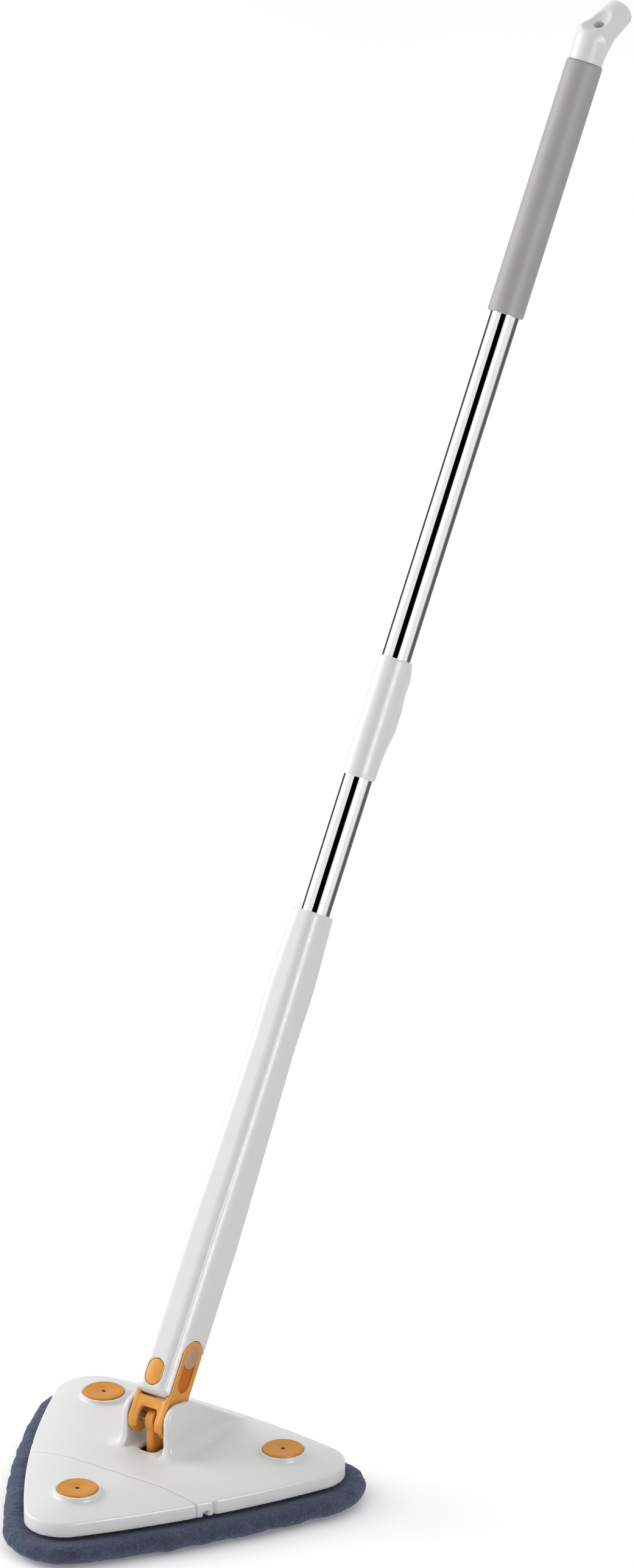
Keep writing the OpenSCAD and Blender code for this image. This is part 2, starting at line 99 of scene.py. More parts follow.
PIN_R = 4.0                              # the fork's pin and the tilt pin
CHEEK_R = 14.5                           # round ends of the fork's legs
LEG_IN, LEG_OUT = 13.3, 17.7             # from the middle to either face of a leg
RECESS_R, RECESS_FLOOR = 8.8, 15.7       # in a leg's outer face
BRIDGE_LOW, BRIDGE_HIGH = 8.0, 17.6      # between the legs, along the pole
ARCH_R = 9.3                             # the opening in front of the centre lug
SLOT_HALF, SLOT_FLOOR = 19.0, 43.4       # room for the fork between the ears
EAR_IN, EAR_OUT = 15.0, 27.0
HINGE_HOLE_R, HINGE_PIN_R = 2.5, 1.56
BOSS_WIDE, BOSS_HIGH = 2.6, 1.6          # the low ring round a disc
LUG_FOOT = 33.0

TUBE_R = 12.5
LOWER_TUBE_BOTTOM = 222.0
SLEEVE_BOTTOM, SLEEVE_TOP = 20.0, 451.0
SLEEVE_BORE_R, SLEEVE_BORE_BOTTOM = 13.0, 68.0
MOUTH_R, MOUTH_DEPTH = 14.0, 24.0        # where the guide bush sits
COLLAR_BOTTOM, COLLAR_TOP = 572.0, 678.0
COLLAR_R = 14.5
GRIP_BOTTOM, GRIP_TOP = 985.0, 1210.0
GRIP_R = 15.85
BUTTON_AT, BUTTON_HALF, BUTTON_R = 38.7, 3.5, 8.0
BUTTON_FACE, BUTTON_STEP, BUTTON_BACK = 22.6, 18.3, 15.4
COVER_X, COVER_Y, COVER_TOP = 14.0, 18.6, 265.0
CAP_ELBOW = GRIP_TOP + 21
CAP_BEND = math.radians(43)
CAP_R, CAP_TIP = 14.8, 43.0
CAP_HOLE, CAP_HOLE_R = 12.0, 4.5

# ---------------------------------------------------------------- distance fields


def clamp(v, low=0.0, high=1.0):
    return np.minimum(np.maximum(v, low), high)


def soft_min(a, b, k):
    """The union of two fields with a fillet about k wide."""
    h = clamp(0.5 + 0.5 * (b - a) / k)
    return b + (a - b) * h - k * h * (1 - h)


def soft_max(a, b, k):
    return -soft_min(-a, -b, k)


def both(a, b, r):
    """Where two fields overlap, with a round edge of radius r between them."""
    a, b = a + r, b + r
    return np.minimum(np.maximum(a, b), 0) + np.hypot(np.maximum(a, 0), np.maximum(b, 0)) - r


def slab(v, low, high):
    """Distance to the layer between two values of v."""
    return np.abs(v - (low + high) / 2) - (high - low) / 2


def capsule(u, v, start, end, r):
    """Distance in a plane to a stadium: a segment with round ends."""
    du = end[0] - start[0]
    dv = end[1] - start[1]
    t = clamp(((u - start[0]) * du + (v - start[1]) * dv) / (du * du + dv * dv))
    return np.hypot(u - start[0] - t * du, v - start[1] - t * dv) - r


def bowed_sides():
    """Radius of the plate's bowed sides, how far off their centres lie, and half the turn of a corner."""
    over = PLATE_R ** 2 - CORNER_REACH ** 2 - PLATE_IN ** 2 + CORNER_REACH * PLATE_IN
    radius = over / (CORNER_REACH - 2 * PLATE_IN + 2 * PLATE_R)
    offset = radius - PLATE_IN
    across = offset * math.sin(math.pi / 3)
    along = CORNER_REACH + offset * math.cos(math.pi / 3)
    return radius, offset, math.atan2(across, along)


def outline(x, y):
    """Distance in the plane to the plate's outline: bowed sides and round corners, one towards -Y."""
    radius, offset, half = bowed_sides()
    result = np.full(np.shape(x), -1e9)
    for angle in (90, 210, 330):
        nx, ny = math.cos(math.radians(angle)), math.sin(math.radians(angle))
        result = np.maximum(result, np.hypot(x + offset * nx, y + offset * ny) - radius)
    for angle in CORNER_ANGLES.values():
        ux, uy = math.cos(math.radians(angle)), math.sin(math.radians(angle))
        px, py = x - CORNER_REACH * ux, y - CORNER_REACH * uy
        along = px * ux + py * uy
        across = np.abs(py * ux - px * uy)
        corner = np.hypot(px, py) - PLATE_R
        result = np.where(across * math.cos(half) < along * math.sin(half), corner, result)
    return result


def rounded_box(u, v, half_u, v_low, v_high, r_low, r_high):
    """Distance to a rectangle with one corner radius at the low side of v and another at the high side."""
    middle, half_v = (v_low + v_high) / 2, (v_high - v_low) / 2
    r = np.where(v < middle, r_low, r_high)
    qu, qv = np.abs(u) - half_u + r, np.abs(v - middle) - half_v + r
    return np.minimum(np.maximum(qu, qv), 0) + np.hypot(np.maximum(qu, 0), np.maximum(qv, 0)) - r


def smooth_profile(stations, width):
    """A function of the distance along the pole that runs smoothly through [distance, values...] rows."""
    rows = np.array(stations, float)
    fine = np.arange(rows[0, 0] - 40, rows[-1, 0] + 40, 1.0)
    window = np.hanning(width + 2)
    window /= window.sum()
    half = len(window) // 2
    columns = []
    for values in rows[:, 1:].T:
        line = np.interp(fine, rows[:, 0], values)
        padded = np.concatenate([np.full(half, line[0]), line, np.full(half, line[-1])])
        columns.append(np.convolve(padded, window, "same")[half:half + len(fine)])
    return lambda a: [np.interp(a, fine, c) for c in columns]


# ---------------------------------------------------------------- meshes from fields


def neighbours(values, axis):
    """The array without its last layer along an axis, and without its first."""
    first = [slice(None)] * 3
    second = [slice(None)] * 3
    first[axis] = slice(None, -1)
    second[axis] = slice(1, None)
    return values[tuple(first)], values[tuple(second)]


def cell_points(values, inside):
    """Which cells the surface crosses, and the mean of its crossings with each such cell's edges."""
    cells = tuple(n - 1 for n in values.shape)
    total = np.zeros(cells + (3,))
    count = np.zeros(cells)
    for axis in range(3):
        a, b = neighbours(values, axis)
        inside_a, inside_b = neighbours(inside, axis)
        crossing = inside_a != inside_b
        t = np.where(crossing, a / np.where(crossing, a - b, 1), 0)
        others = [k for k in range(3) if k != axis]
        for du in (0, 1):
            for dv in (0, 1):
                cut = [slice(None)] * 3
                for k, d in zip(others, (du, dv)):
                    cut[k] = slice(d, cells[k] + d)
                hit = crossing[tuple(cut)]
                count += hit
                total[..., axis] += t[tuple(cut)]
                total[..., others[0]] += hit * du
                total[..., others[1]] += hit * dv
    used = count > 0
    return used, np.stack(np.nonzero(used), -1) + total[used] / count[used][:, None]


def cell_quads(inside, number):
    """A quad between the four cells round each edge of the grid that the surface crosses."""
    cells = number.shape
    quads = []
    for axis in range(3):
        a, b = neighbours(inside, axis)
        index = np.nonzero(a != b)
        u, v = [n for n in range(3) if n != axis]
        keep = (index[u] > 0) & (index[v] > 0) & (index[u] < cells[u]) & (index[v] < cells[v])
        index = [n[keep] for n in index]
        outward = a[tuple(index)]
        if axis == 1:
            outward = ~outward
        ring = []
        for du, dv in ((-1, -1), (0, -1), (0, 0), (-1, 0)):
            cell = list(index)
            cell[u] = index[u] + du
            cell[v] = index[v] + dv
            ring.append(number[tuple(cell)])
        ring = np.stack(ring, -1)
        quads.append(np.where(outward[:, None], ring, ring[:, ::-1]))
    return np.concatenate(quads)


def surface(field, low, high, step):
    """The zero surface of a field as quads: one point in each cell it crosses, drawn onto the surface."""
    axes = [np.arange(a - 1.5 * step, b + 2.5 * step, step) for a, b in zip(low, high)]
    values = field(*np.meshgrid(*axes, indexing="ij"))
    inside = values < 0
    used, places = cell_points(values, inside)
    number = np.full(used.shape, -1)
    number[used] = np.arange(used.sum())
    points = np.array([line[0] for line in axes]) + places * step
    return settle(field, points, step), cell_quads(inside, number)


def settle(field, points, step, rounds=4):
    """Moves points along the field's slope onto its surface."""
    reach = 0.7 * step
    start = points.copy()
    for _ in range(rounds):
        value, slope = value_and_slope(field, points, 0.02 * step)
        points = points - slope * (value / np.maximum((slope ** 2).sum(1), 0.05))[:, None]
        points = start + clamp(points - start, -reach, reach)
    return points


def value_and_slope(field, points, h):
    """A field's values at some points, and its slopes from differences over h."""
    value = field(*points.T)
    slope = np.zeros_like(points)
    for axis in range(3):
        shift = np.zeros(3)
        shift[axis] = h
        slope[:, axis] = (field(*(points + shift).T) - field(*(points - shift).T)) / (2 * h)
    return value, slope


def to_row(points):
    """From the pole's frame (x, back, along) to the row's frame."""
    x, back, along = points.T
    return PIVOT + np.outer(x, [1, 0, 0]) + np.outer(back, BACK) + np.outer(along, ALONG)


def make_piece(name, points, faces, body, slot, nodes, sharp=None):
    """An object of the visual model, in the place of the CAD nodes that it stands for."""
    mesh = bpy.data.meshes.new(name)
    places = (np.asarray(points) * MM).tolist()
    mesh.from_pydata(places, [], [tuple(int(k) for k in face) for face in faces])
    mesh.update()
    mesh.shade_smooth()
    if sharp is not None:
        mesh.set_sharp_from_angle(angle=math.radians(sharp))
    piece = bpy.data.objects.new(name, mesh)
    bpy.context.scene.collection.objects.link(piece)
    if body:
        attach(piece, body)
    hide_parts(*nodes)
    piece.data.materials.append(material(slot))
    return piece


def field_piece(name, field, low, high, step, body, slot, nodes):
    points, faces = surface(field, low, high, step)
    return make_piece(name, points, faces, body, slot, nodes, sharp=40)


def pole_piece(name, field, low, high, step, body, slot, nodes):
    """A piece whose field is in the pole's frame."""
    points, faces = surface(field, low, high, step)
    return make_piece(name, to_row(points), faces, body, slot, nodes, sharp=40)


def band(row, following, sides):
    """Quads between two rows of a mesh whose rows are closed rings."""
    quads = []
    for k in range(sides):
        n = (k + 1) % sides
        quads.append((row * sides + k, row * sides + n, following * sides + n, following * sides + k))
    return quads


def turned(profile, origin, axis, sides):
    """A closed profile of (radius, height) points turned about an axis."""
    turn = Vector(axis).normalized().to_track_quat("Z", "Y").to_matrix()
    angles = [2 * math.pi * k / sides for k in range(sides)]
    ring = np.array([[math.cos(a), math.sin(a)] for a in angles])
    rings = [np.column_stack([r * ring, np.full(sides, h)]) for r, h in profile]
    points = np.concatenate(rings) @ np.array(turn).T + np.array(origin)
    faces = []
    for row in range(len(profile)):
        faces += band(row, (row + 1) % len(profile), sides)
    return points, faces


def turned_piece(name, profile, origin, axis, body, slot, nodes, sides=96):
    points, faces = turned(profile, origin, axis, sides)
    return make_piece(name, points, faces, body, slot, nodes, sharp=30)


# ---------------------------------------------------------------- materials

MATERIALS = {}
NOISE_LOW, NOISE_HIGH = 0.3, 0.7         # the range that most of a noise texture's values lie in
WHITE = (0.70, 0.70, 0.70)
ORANGE = (0.72, 0.30, 0.04)
# painted shade: the darker orange laid on the floors of the fork's recesses, where shade falls
RECESS_PAINTED_SHADE = (0.54, 0.15, 0.001)
DISC_ORANGE = (0.62, 0.24, 0.006)
BLACK = (0.03, 0.03, 0.03)


def node_tree(name):
    result = bpy.data.materials.new(name)
    result.use_nodes = True
    tree = result.node_tree
    shader = tree.nodes["Principled BSDF"]
    place = tree.nodes.new("ShaderNodeTexCoord").outputs["Object"]
    return result, tree, shader, place


def noise_value(tree, place, scale, detail=3.0, roughness=0.5, stretch=None):
    if stretch:
        mapping = tree.nodes.new("ShaderNodeMapping")
        mapping.inputs["Scale"].default_value = stretch
        tree.links.new(place, mapping.inputs["Vector"])
        place = mapping.outputs["Vector"]
    texture = tree.nodes.new("ShaderNodeTexNoise")
    texture.inputs["Scale"].default_value = scale
    texture.inputs["Detail"].default_value = detail
    texture.inputs["Roughness"].default_value = roughness
    tree.links.new(place, texture.inputs["Vector"])
    return texture.outputs["Fac"]


def spread(tree, value, low, high, from_low=NOISE_LOW, from_high=NOISE_HIGH):
    """Maps a value's range onto another one."""
    box = tree.nodes.new("ShaderNodeMapRange")
    box.inputs["From Min"].default_value = from_low
    box.inputs["From Max"].default_value = from_high
    box.inputs["To Min"].default_value = low
    box.inputs["To Max"].default_value = high
    tree.links.new(value, box.inputs["Value"])
    return box.outputs["Result"]


def tint(tree, value, dark, light):
    """A colour between two, by a noise value."""
    ramp = tree.nodes.new("ShaderNodeValToRGB")
    ramp.color_ramp.elements[0].position = NOISE_LOW
    ramp.color_ramp.elements[1].position = NOISE_HIGH
    ramp.color_ramp.elements[0].color = (*dark, 1)
    ramp.color_ramp.elements[1].color = (*light, 1)
    tree.links.new(value, ramp.inputs["Fac"])
    return ramp.outputs["Color"]


def bump(tree, height, strength, distance, normal=None):
    node = tree.nodes.new("ShaderNodeBump")
    node.inputs["Strength"].default_value = strength
    node.inputs["Distance"].default_value = distance
    tree.links.new(height, node.inputs["Height"])
    if normal is not None:
        tree.links.new(normal, node.inputs["Normal"])
    return node.outputs["Normal"]


def shade(color, factor):
    return tuple(min(1.0, c * factor) for c in color)


def drift_color(tree, shader, value, color, low, high):
    """Lets the base colour wander between two brightnesses of one colour."""
    tree.links.new(tint(tree, value, shade(color, low), shade(color, high)), shader.inputs["Base Color"])


def drift_gloss(tree, shader, value, low, high):
    tree.links.new(spread(tree, value, low, high), shader.inputs["Roughness"])


def feed(tree, socket, value):
    """Links a socket to another node's output, or sets it to a constant."""
    if isinstance(value, bpy.types.NodeSocket):
        tree.links.new(value, socket)
    else:
        socket.default_value = value


def mixed(tree, factor, first, second, blend="MULTIPLY"):
    mix = tree.nodes.new("ShaderNodeMix")
    mix.data_type = "RGBA"
    mix.blend_type = blend
    feed(tree, mix.inputs["Factor"], factor)
    feed(tree, mix.inputs["A"], first)
    feed(tree, mix.inputs["B"], second)
    return mix.outputs["Result"]


def moulded(name, color, roughness=0.3, change=0.03, grain=0.05):
    """Moulded plastic: slight colour drift, uneven gloss and a fine orange-peel surface."""
    result, tree, shader, place = node_tree(name)
    drift_color(tree, shader, noise_value(tree, place, 35, 2), color, 1 - change, 1 + change)
    drift_gloss(tree, shader, noise_value(tree, place, 160, 4, 0.6), roughness - 0.05, roughness + 0.07)
    peel = noise_value(tree, place, 900, 2)
    tree.links.new(bump(tree, peel, grain, 0.0004), shader.inputs["Normal"])
    shader.inputs["IOR"].default_value = 1.49
    return result


def paint_recess_shade(result, dark):
    """Paints shade on the floors of the fork's two recesses, within reach of the legs' middle line: a darker
    orange that stands in for the shade that falls in them.
    """
    tree = result.node_tree
    shader = tree.nodes["Principled BSDF"]
    plain = shader.inputs["Base Color"].links[0].from_socket
    place = tree.nodes["Texture Coordinate"].outputs["Object"]
    across = size_along(tree, place, (1, 0, 0), (0, 0, 0))
    back = size_along(tree, place, tuple(BACK), tuple(PIVOT * MM))
    inner = spread(tree, across, 0, 1, (LEG_IN + 1.0) * MM, (LEG_IN + 1.5) * MM)
    outer = spread(tree, across, 1, 0, (RECESS_FLOOR + 0.5) * MM, (RECESS_FLOOR + 1.3) * MM)
    edge = spread(tree, back, 1, 0, RECESS_R * MM, (RECESS_R + 1.0) * MM)
    # where the painted shade lies: the floors of the two recesses
    shade_mask = multiply(tree, multiply(tree, inner, outer), edge)
    tree.links.new(mixed(tree, shade_mask, plain, (*dark, 1), "MIX"), shader.inputs["Base Color"])
    return result


def dot_product(tree, vector, axis):
    node = tree.nodes.new("ShaderNodeVectorMath")
    node.operation = "DOT_PRODUCT"
    node.inputs[1].default_value = axis
    tree.links.new(vector, node.inputs[0])
    return node.outputs["Value"]


def size_along(tree, place, axis, origin):
    """How far a place lies from an origin, along an axis, to either side."""
    offset = tree.nodes.new("ShaderNodeVectorMath")
    offset.operation = "SUBTRACT"
    offset.inputs[1].default_value = origin
    tree.links.new(place, offset.inputs[0])
    size = tree.nodes.new("ShaderNodeMath")
    size.operation = "ABSOLUTE"
    tree.links.new(dot_product(tree, offset.outputs["Vector"], axis), size.inputs[0])
    return size.outputs["Value"]


def multiply(tree, first, second):
    node = tree.nodes.new("ShaderNodeMath")
    node.operation = "MULTIPLY"
    tree.links.new(first, node.inputs[0])
    tree.links.new(second, node.inputs[1])
    return node.outputs["Value"]


def polished_tube(name):
    """Close to a mirror, a little hazy, and darker where it is seen at a grazing angle."""
    result, tree, shader, place = node_tree(name)
    shader.inputs["Metallic"].default_value = 1.0
    drift = tint(tree, noise_value(tree, place, 60, 2), (0.90, 0.90, 0.905), (0.93, 0.93, 0.93))
    tree.links.new(drift, shader.inputs["Base Color"])
    drift_gloss(tree, shader, noise_value(tree, place, 90, 3, 0.6), 0.045, 0.075)
    shader.inputs["Specular Tint"].default_value = (0.16, 0.16, 0.16, 1)
    return result


def turned_steel(name, color=(0.62, 0.62, 0.62), roughness=0.34, metallic=1.0):
    """Turned steel, with fine lines."""
    result, tree, shader, place = node_tree(name)
    shader.inputs["Metallic"].default_value = metallic
    drift_color(tree, shader, noise_value(tree, place, 400, 3), color, 0.9, 1.08)
    lines = noise_value(tree, place, 700, 3, 0.6, (0.3, 4, 4))
    drift_gloss(tree, shader, lines, roughness - 0.08, roughness + 0.08)
    tree.links.new(bump(tree, lines, 0.1, 0.0003), shader.inputs["Normal"])
    return result


def foam(name, color=(0.345, 0.34, 0.33)):
    """Closed-cell foam rubber: fine pores over broader unevenness."""
    result, tree, shader, place = node_tree(name)
    drift_color(tree, shader, noise_value(tree, place, 14, 3), color, 0.94, 1.05)
    pores = noise_value(tree, place, 1500, 3, 0.7)
    broad = bump(tree, noise_value(tree, place, 240, 3, 0.6), 0.12, 0.0008)
    tree.links.new(bump(tree, pores, 0.25, 0.0004, broad), shader.inputs["Normal"])
    drift_gloss(tree, shader, pores, 0.42, 0.56)
    return result


def matt(name, color, roughness=0.6):
    """Rubber and hook tape: rough, with an uneven grain."""
    result, tree, shader, place = node_tree(name)
    drift_color(tree, shader, noise_value(tree, place, 120, 3), color, 0.85, 1.15)
    grain = noise_value(tree, place, 1400, 3, 0.6)
    drift_gloss(tree, shader, grain, roughness - 0.08, roughness + 0.08)
    tree.links.new(bump(tree, grain, 0.2, 0.0003), shader.inputs["Normal"])
    return result


def plush(name, color=(0.072, 0.082, 0.150)):
    """Cut-pile microfibre: clumped tufts of several sizes, with a soft sheen. Between the tufts, where the same
    noise sinks the bump, the colour is darker: partly the pile's own uneven tone, partly painted shade in the
    hollows.
    """
    result, tree, shader, place = node_tree(name)
    tufts = noise_value(tree, place, 420, 4, 0.65)
    patches = noise_value(tree, place, 38, 4, 0.6)
    hue = noise_value(tree, place, 60, 4, 0.6)
    fibre = noise_value(tree, place, 2200, 3, 0.7)
    # the tufts' tone, darker where their bump is low: partly uneven tone, partly painted shade between the tufts
    pile = tint(tree, tufts, shade(color, 0.55), shade(color, 1.25))
    cast = tint(tree, hue, (0.86, 1.16, 0.90), (1.22, 0.96, 1.04))
    patched = mixed(tree, 0.6, pile, tint(tree, patches, (0.45, 0.45, 0.45), (1.0, 1.0, 1.0)))
    tree.links.new(mixed(tree, 1.0, patched, cast), shader.inputs["Base Color"])
    clumps = bump(tree, tufts, 0.9, 0.0022)
    tree.links.new(bump(tree, fibre, 0.7, 0.0007, clumps), shader.inputs["Normal"])
    shader.inputs["Roughness"].default_value = 0.95
    shader.inputs["Sheen Weight"].default_value = 0.55
    shader.inputs["Sheen Roughness"].default_value = 0.45
    shader.inputs["Sheen Tint"].default_value = (0.55, 0.6, 0.8, 1)
    shader.inputs["Specular IOR Level"].default_value = 0.15
    return result


MAKERS = {
    "white_plastic": lambda n: moulded(n, WHITE, 0.34, 0.012, 0.03),
    # the fork's orange, with painted shade on the floors of its recesses
    "orange_plastic": lambda n: paint_recess_shade(moulded(n, ORANGE, 0.36, 0.05), RECESS_PAINTED_SHADE),
    "disc_plastic": lambda n: moulded(n, DISC_ORANGE, 0.42, 0.05),
    "tube_steel": polished_tube,
    "grip_foam": foam,
    "inner_plastic": lambda n: moulded(n, (0.06, 0.06, 0.065), 0.5, 0.1),
    "pin_steel": turned_steel,
    "rivet_bronze": lambda n: turned_steel(n, (0.62, 0.37, 0.27), 0.4, 0.4),
    "dark_screw": lambda n: turned_steel(n, (0.10, 0.055, 0.03), 0.45),
    "buffer_rubber": lambda n: matt(n, BLACK),
    "hook_tape": lambda n: matt(n, (0.03, 0.03, 0.035), 0.85),
    "plush": plush,
}


def material(slot):
    if slot not in MATERIALS:
        MATERIALS[slot] = MAKERS[slot](slot)
    return MATERIALS[slot]


def finish_cad_nodes():
    """Gives every CAD node that stays in view its procedural material."""
    slots = {s["node"]: s["material_slot"] for s in frame["record"]["subparts"]}
    for name, node in frame["nodes"].items():
        for place in node.material_slots:
            place.material = material(slots[name])
        if not node.material_slots:
            node.data.materials.append(material(slots[name]))


# ---------------------------------------------------------------- pole, grip, collar and cap


def tube_outline(bottom, top, wall=1.0, edge=0.25):
    inner = TUBE_R - wall
    return [
        (inner, bottom + edge), (inner + edge, bottom), (TUBE_R - edge, bottom), (TUBE_R, bottom + edge),
        (TUBE_R, top - edge), (TUBE_R - edge, top), (inner + edge, top), (inner, top - edge),
    ]


def make_tubes():
    middle = (COLLAR_BOTTOM + COLLAR_TOP) / 2
    lower = tube_outline(LOWER_TUBE_BOTTOM, middle - 0.5)
    upper = tube_outline(middle, GRIP_TOP)
    turned_piece("lower_pole", lower, PIVOT, ALONG, "handle", "tube_steel", ["lower_tube"], 160)
    turned_piece("upper_pole", upper, PIVOT, ALONG, "handle", "tube_steel", ["upper_tube"], 160)


def make_grip():
    inner, rim = TUBE_R + 0.05, 1.6
    core = GRIP_R - rim
    arc = [math.radians(a) for a in (22, 45, 68, 90)]
    profile = [(inner, GRIP_BOTTOM), (core, GRIP_BOTTOM)]
    profile += [(core + rim * math.sin(a), GRIP_BOTTOM + rim - rim * math.cos(a)) for a in arc]
    profile += [(GRIP_R, h) for h in np.linspace(GRIP_BOTTOM + rim, GRIP_TOP - rim, 60)[1:-1]]
    profile += [(core + rim * math.sin(a), GRIP_TOP - rim + rim * math.cos(a)) for a in reversed(arc)]
    profile += [(core, GRIP_TOP), (inner, GRIP_TOP)]
    turned_piece("soft_grip", profile, PIVOT, ALONG, "handle", "grip_foam", ["foam_grip"], 128)


# along the pole: how far the collar's swelling stands out behind
collar_back = smooth_profile([
    [572, 0], [586, 1.5], [602, 7], [617, 11.2], [635, 11.4], [650, 8.6], [663, 10.0], [672, 7],
    [678, 2],
], 12)


def collar_field(x, b, a):
    """A ring round the pole that swells out behind."""
    reach, = collar_back(a)
    ring = np.hypot(x, b) - COLLAR_R
    swelling = np.hypot(x, b - clamp(b, 0, np.maximum(reach, 0.01))) - 12.4
    form = soft_min(ring, swelling, 3.0)
    form = both(form, slab(a, COLLAR_BOTTOM, COLLAR_TOP), 1.4)
    return np.maximum(form, TUBE_R + 0.06 - np.hypot(x, b))


def make_collar():
    low, high = (-16, -16, COLLAR_BOTTOM), (16, 26, COLLAR_TOP)
    pole_piece("joint_collar", collar_field, low, high, 0.9, "handle", "white_plastic", ["collar"])


def cap_field(x, b, a):
    """A shaft and a bent tip with a ball at the elbow, a scoop in the front and the hanging hole."""
    up = a - CAP_ELBOW
    shaft = np.maximum(np.hypot(x, b) - CAP_R, up)
    shaft = np.minimum(shaft, np.sqrt(x * x + b * b + up ** 2) - CAP_R)
    out = b * math.sin(CAP_BEND) + up * math.cos(CAP_BEND)
    side = b * math.cos(CAP_BEND) - up * math.sin(CAP_BEND)
    tip = np.maximum(np.hypot(x, side) - CAP_R + 2.7 * clamp(out / CAP_TIP, -1, 1.2), -out)
    form = soft_min(shaft, tip, 7.0)
    form = both(form, out - CAP_TIP, 2.2)
    form = both(form, GRIP_TOP + 0.05 - a, 0.8)
    scoop = np.sqrt((x / 1.3) ** 2 + ((side + 17.0) / 1.1) ** 2 + ((out - CAP_HOLE) / 1.9) ** 2) - 9.0
    form = soft_max(form, -scoop, 2.0)
    hole = np.hypot(x, out - CAP_HOLE) - CAP_HOLE_R
    return soft_max(form, -hole, 1.0)


def make_cap():
    low, high = (-17, -17, GRIP_TOP - 2), (17, 44, CAP_ELBOW + 46)
    pole_piece("bent_cap", cap_field, low, high, 0.8, "handle", "white_plastic", ["end_cap"])


# ---------------------------------------------------------------- sleeve and button

# along the pole: half width, front, back, radius of the front corners, radius of the back corners
sleeve_profile = smooth_profile([
    [20, 17.8, 22.5, 17.6, 12, 4.5], [160, 17.8, 22.3, 18.0, 12, 4.5], [254, 17.0, 20.9, 16.3, 12, 6],
    [334, 16.3, 20.2, 14.6, 12, 8], [384, 16.7, 21.6, 15.2, 12, 8], [452, 15.0, 20.1, 14.9, 12, 12],
], 36)


def sleeve_form(x, b, a):
    half, front, back, front_r, back_r = sleeve_profile(a)
    form = rounded_box(x, b, half, -front, back, front_r, back_r)
    below = np.where(a < FORK_PIN, np.hypot(b, a - FORK_PIN), np.abs(b)) - (FORK_PIN - SLEEVE_BOTTOM + 1.5)
    return both(form, below, 2.2)


def cover_relief(x, b, a):
    """How far the front cover stands proud of the housing; it runs out at its upper end."""
    edge = clamp(COVER_X + 0.5 - np.abs(x))
    height = 0.75 * clamp((COVER_TOP - a) / 90)
    return np.where(b < -8, height * edge * edge * (3 - 2 * edge), 0)


def button_outline(x, a, grow):
    return capsule(x, a, (0, BUTTON_AT - BUTTON_HALF), (0, BUTTON_AT + BUTTON_HALF), BUTTON_R + grow)


def fork_pocket(x, b, a):
    """Room for the fork's legs beside the sleeve's tongue, at rest and tipped by 45 degrees."""
    reach = CHEEK_R + 0.4
    up = a - FORK_PIN
    form = np.minimum(np.hypot(b, up) - reach, np.maximum(-reach - b, up))
    folded = (b + up) * math.sqrt(0.5) - reach
    form = np.minimum(form, np.maximum(folded, reach * math.sqrt(0.5) - b))
    return np.maximum(form, LEG_IN - 0.4 - np.abs(x))


def housing_field(x, b, a):
    """The sleeve with its bore and mouth, the fork's pocket, and the button's well and window."""
    form = both(sleeve_form(x, b, a) - cover_relief(x, b, a), a - SLEEVE_TOP, 1.2)
    bore_r = np.where(a > SLEEVE_TOP - MOUTH_DEPTH, MOUTH_R, SLEEVE_BORE_R)
    form = np.maximum(form, -np.maximum(np.hypot(x, b) - bore_r, SLEEVE_BORE_BOTTOM - a))
    form = both(form, -fork_pocket(x, b, a), 0.6)
    well = np.maximum(button_outline(x, a, 2.5), slab(b, -COVER_Y, -11.8))
    form = np.maximum(form, -well)
    return both(form, -np.maximum(button_outline(x, a, 0.35), b + 15), 0.7)


def make_sleeve():
    low, high = (-19, -25, SLEEVE_BOTTOM - 2), (19, 20, SLEEVE_TOP)
    nodes = ["sleeve_housing", "sleeve_front_cover"]
    pole_piece("sleeve_body", housing_field, low, high, 1.0, "sleeve", "white_plastic", nodes)
    inner, outer, chamfer = TUBE_R + 0.06, MOUTH_R - 0.05, 0.7
    foot, top = SLEEVE_TOP - MOUTH_DEPTH, SLEEVE_TOP - 0.4
    profile = [(inner, foot), (outer, foot), (outer, top), (inner + chamfer, top), (inner, top - chamfer)]
    turned_piece("mouth_bush", profile, PIVOT, ALONG, "sleeve", "white_plastic", ["guide_bush"], 128)


def button_field(x, b, a):
    """A crowned head, and the flange that keeps it in the sleeve."""
    crown = 1.1 * (1 - (x / 9) ** 2) + 0.5 * (1 - ((a - BUTTON_AT) / 12) ** 2)
    head = both(button_outline(x, a, 0), -b - BUTTON_FACE - crown, 1.6)
    head = np.maximum(head, b + BUTTON_BACK)
    flange = np.maximum(button_outline(x, a, 2), slab(b, -BUTTON_STEP, -BUTTON_BACK))
    return np.minimum(head, flange)


def make_button():
    low, high = (-11, -26, 25), (11, -15, 53)
    pole_piece("push_button", button_field, low, high, 0.6, "button", "orange_plastic", ["lock_button"])


# ---------------------------------------------------------------- fork


def fork_field(x, b, a):
    """Two legs with a recess in each, a bridge between them, and an arch in front over the centre lug."""
    side = np.abs(x)
    cheek = capsule(b, a, (0, 0), (0, FORK_PIN), CHEEK_R)
    legs = both(cheek, slab(side, LEG_IN, LEG_OUT), 1.1)
    recess = np.maximum(capsule(b, a, (0, 36.5), (0, FORK_PIN + 1.5), RECESS_R), RECESS_FLOOR - side)
    legs = soft_max(legs, -recess, 0.8)
    bridge = both(np.maximum(side - 14.5, np.abs(b) - 13.6), slab(a, BRIDGE_LOW, BRIDGE_HIGH), 1.2)
    bridge = soft_max(bridge, 11.5 - np.hypot(b, a), 1.0)
    bridge = soft_max(bridge, 41.2 - np.hypot(b, a - FORK_PIN), 1.0)
    front = both(both(cheek, side - 14.2, 1.0), slab(b, -14.5, -9.0), 1.2)
    arch = capsule(x, a, (0, -40), (0, 2.5), ARCH_R)
    front = soft_max(front, -arch, 1.6)
    front = np.maximum(front, a - 17)
    form = soft_min(legs, soft_min(bridge, front, 1.5), 1.5)
    form = np.maximum(form, PIN_R + 0.05 - np.hypot(b, a))
    return np.maximum(form, PIN_R + 0.05 - np.hypot(b, a - FORK_PIN))


